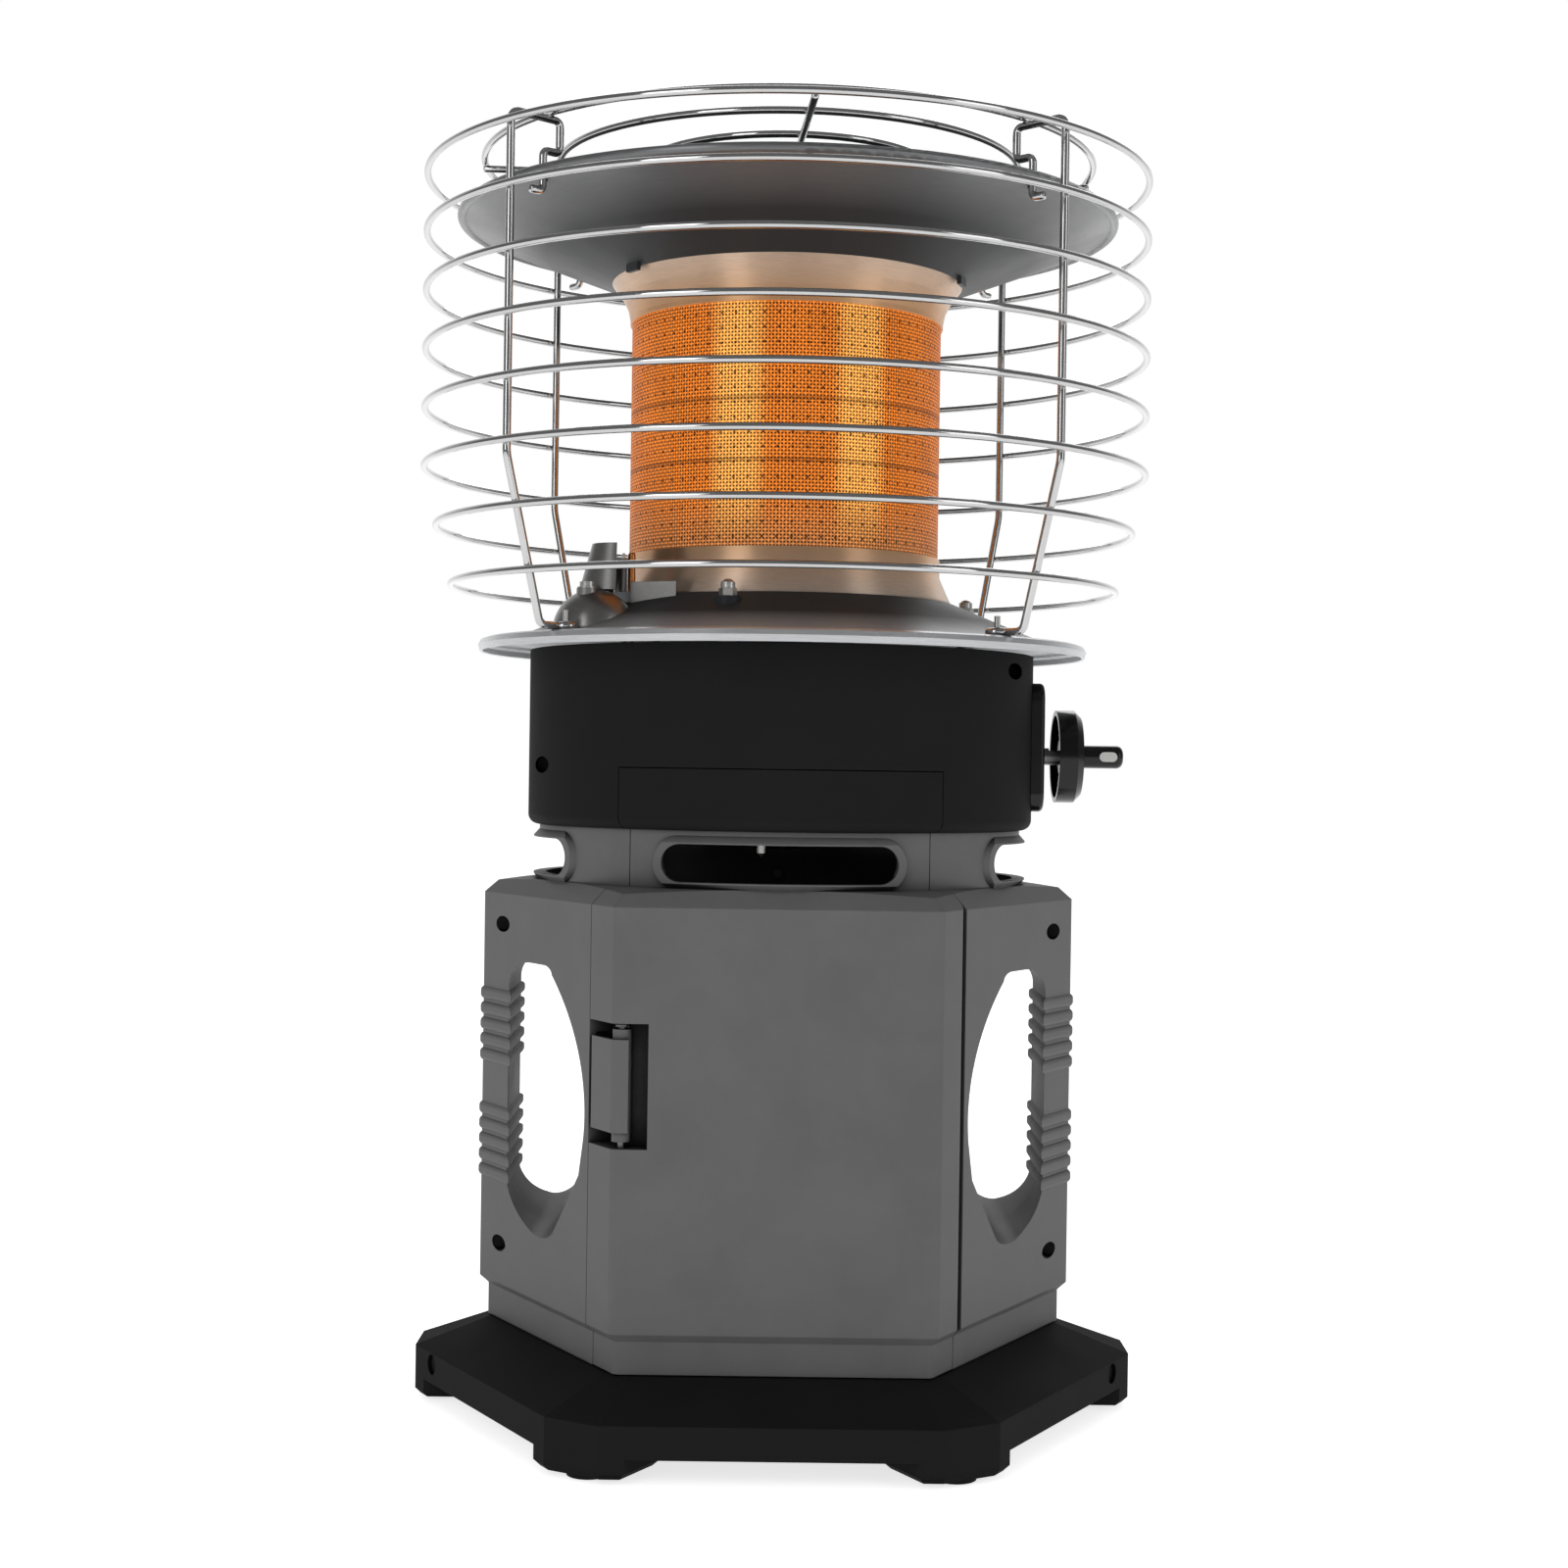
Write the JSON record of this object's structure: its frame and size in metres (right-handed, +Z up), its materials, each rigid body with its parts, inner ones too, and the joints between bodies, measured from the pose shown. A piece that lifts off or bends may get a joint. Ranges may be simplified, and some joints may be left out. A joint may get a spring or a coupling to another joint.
{
  "type": "portable propane heater",
  "caption": "Upright radiant gas heater with a mesh burner under a reflector in a wire guard, on a hexagonal housing with a hinged door, two grips and a side control knob.",
  "frame": {"origin": "centre of the base on the floor, under the foot pads", "axes": "+Z up; the door faces -Y; the control knob points to +X"},
  "size_m": [0.3288, 0.3288, 0.56],
  "materials": {
    "grey_plastic": "satin moulded charcoal grey plastic",
    "black_plastic": "fine matte moulded black plastic",
    "black_paint": "semi-matte black powder coat on sheet steel",
    "knob_plastic": "glossy black moulded plastic",
    "pointer_white": "white inlay",
    "dark_screw": "black oxide steel",
    "bright_screw": "zinc plated steel",
    "chrome_wire": "bright nickel chrome plate on steel wire",
    "spun_steel": "spun and brushed stainless steel",
    "sheet_steel": "plain galvanised sheet steel",
    "mesh_steel": "woven heat-resisting steel mesh, glowing in use",
    "tube_steel": "perforated heat-tinted stainless steel",
    "valve_metal": "die-cast aluminium alloy",
    "brass_metal": "turned brass",
    "tube_metal": "drawn soft aluminium tube",
    "copper_metal": "drawn copper with a steel tip",
    "ceramic_white": "glazed white ceramic with a steel wire",
    "rubber_black": "moulded black rubber",
    "spring_steel": "drawn spring steel"
  },
  "bodies": {
    "heater": {"base": "black_plastic", "foot_pads": "rubber_black", "base_screws": "dark_screw", "body_front_left": "grey_plastic", "body_front_right": "grey_plastic", "body_rear": "grey_plastic", "body_screws": "dark_screw", "neck_liner": "black_paint", "drum_front": "black_plastic", "drum_rear": "black_plastic", "drum_screws": "dark_screw", "control_bezel": "knob_plastic", "valve_bracket": "sheet_steel", "bracket_screws": "bright_screw", "inlet_socket": "brass_metal", "inlet_seal": "rubber_black", "regulator_body": "valve_metal", "valve_body": "valve_metal", "stem_gland": "brass_metal", "stem_spring": "spring_steel", "gas_jet": "brass_metal", "venturi_tube": "sheet_steel", "tip_over_switch": "black_plastic", "piezo_igniter": "knob_plastic", "heat_shield": "sheet_steel", "plate_studs": "bright_screw", "cap_nuts": "bright_screw", "burner_plate": "spun_steel", "lower_collar": "spun_steel", "emitter_mesh": "mesh_steel", "emitter_tube": "tube_steel", "burner_cap": "spun_steel", "upper_collar": "spun_steel", "reflector": "spun_steel", "pilot_bracket": "sheet_steel", "pilot_burner": "brass_metal", "electrode": "ceramic_white", "thermocouple": "copper_metal", "pilot_tube": "tube_metal", "pilot_cover": "spun_steel", "pilot_screw": "bright_screw", "pilot_hood": "spun_steel", "pilot_strip": "spun_steel", "guard_rings": "chrome_wire", "guard_ring_7": "chrome_wire", "guard_ring_8": "chrome_wire", "top_rings": "chrome_wire", "cross_wires": "chrome_wire", "guard_posts": "chrome_wire", "guard_screws": "bright_screw"},
    "door": {"door_panel": "grey_plastic", "door_apron": "black_plastic", "door_hinge_pins": "spring_steel", "latch_pin": "spring_steel", "latch_spring": "spring_steel"},
    "latch_lever": {"latch": "grey_plastic"},
    "push_rod": {"push_plunger": "brass_metal"},
    "control": {"knob": "knob_plastic", "knob_pointer": "pointer_white", "valve_stem": "bright_screw"}
  },
  "joints": [
    {"name": "door_hinge", "type": "hinge", "parent": "heater", "child": "door", "pos_m": [0.07235, -0.09928, 0.142], "axis": [0, 0, 1], "range_deg": [0, 90]},
    {"name": "latch_pivot", "type": "hinge", "parent": "door", "child": "latch_lever", "pos_m": [-0.0638, -0.1105, 0.155], "axis": [0, 0, -1], "range_deg": [0, 10], "stiffness_Nm_per_rad": 0.2, "springref_deg": -8.59},
    {"name": "control_push", "type": "slide", "parent": "heater", "child": "push_rod", "axis": [-1, 0, 0], "range_m": [0, 0.004], "stiffness_N_per_m": 800, "springref_m": -0.004},
    {"name": "control_turn", "type": "hinge", "parent": "push_rod", "child": "control", "pos_m": [0.1182, 0, 0.2935], "axis": [1, 0, 0], "range_deg": [0, 180]}
  ]
}
